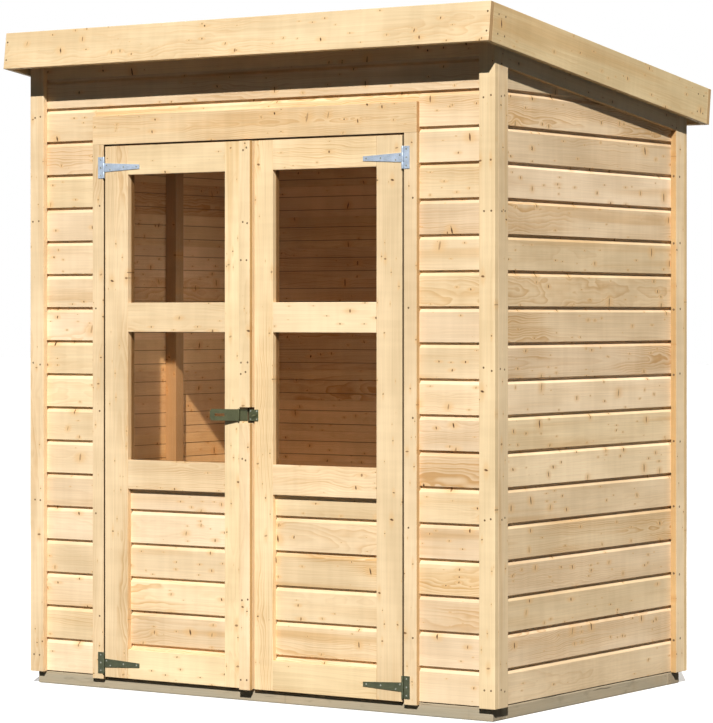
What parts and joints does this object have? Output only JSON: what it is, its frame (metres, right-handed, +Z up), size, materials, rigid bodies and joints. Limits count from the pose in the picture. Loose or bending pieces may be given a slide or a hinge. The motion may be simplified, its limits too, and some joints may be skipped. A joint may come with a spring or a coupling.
{
  "type": "garden shed",
  "caption": "Small pent-roof garden shed clad in horizontal softwood boards, with outward-opening half-glazed doors on strap hinges, a hasp, fascia boards and a raised floor.",
  "frame": {"origin": "on the ground, in the middle of the roof's outline on plan", "axes": "+Z up, +X to the right along the door front, +Y from the doors to the rear"},
  "size_m": [1.906, 1.4412, 2.183],
  "materials": {
    "boards": "planed unpainted softwood",
    "trim": "planed unpainted softwood",
    "door_frame": "planed unpainted softwood",
    "inner_timber": "planed unpainted softwood",
    "weathered_base": "weathered grey softwood",
    "felt": "mineral-faced roofing felt",
    "glass": "clear with a bronze tint",
    "zinc": "dull zinc-plated steel"
  },
  "bodies": {
    "shed": {"base_front_bearer": "weathered_base", "base_rear_bearer": "weathered_base", "base_left_bearer": "weathered_base", "base_right_bearer": "weathered_base", "floor_joists": "weathered_base", "floor_boards": "inner_timber", "corner_front_left": "trim", "corner_front_right": "trim", "corner_rear_left": "trim", "corner_rear_right": "trim", "corner_studs": "inner_timber", "side_studs": "inner_timber", "front_wall_left": "boards", "front_wall_right": "boards", "front_wall_over_door": "boards", "left_wall": "boards", "right_wall": "boards", "rear_wall": "boards", "left_jamb": "trim", "right_jamb": "trim", "door_header": "trim", "left_eaves_rail": "trim", "right_eaves_rail": "trim", "purlins": "inner_timber", "roof_deck": "inner_timber", "roof_felt": "felt", "front_fascia": "trim", "rear_fascia": "trim", "left_fascia": "trim", "right_fascia": "trim", "jamb_hinges": "zinc"},
    "left_door": {"left_door_hinge_stile": "door_frame", "left_door_meeting_stile": "door_frame", "left_door_rails": "door_frame", "left_door_panel": "boards", "left_door_panes": "glass", "left_door_straps": "zinc", "cover_strip": "trim", "hasp": "zinc"},
    "right_door": {"right_door_hinge_stile": "door_frame", "right_door_meeting_stile": "door_frame", "right_door_rails": "door_frame", "right_door_panel": "boards", "right_door_panes": "glass", "right_door_straps": "zinc", "staple": "zinc"}
  },
  "joints": [
    {"name": "left_door_hinge", "type": "hinge", "parent": "shed", "child": "left_door", "pos_m": [-0.60125, -0.62314, 0.906], "axis": [0, 0, -1], "range_deg": [0, 170]},
    {"name": "right_door_hinge", "type": "hinge", "parent": "shed", "child": "right_door", "pos_m": [0.58075, -0.62314, 0.906], "axis": [0, 0, 1], "range_deg": [0, 170]}
  ]
}
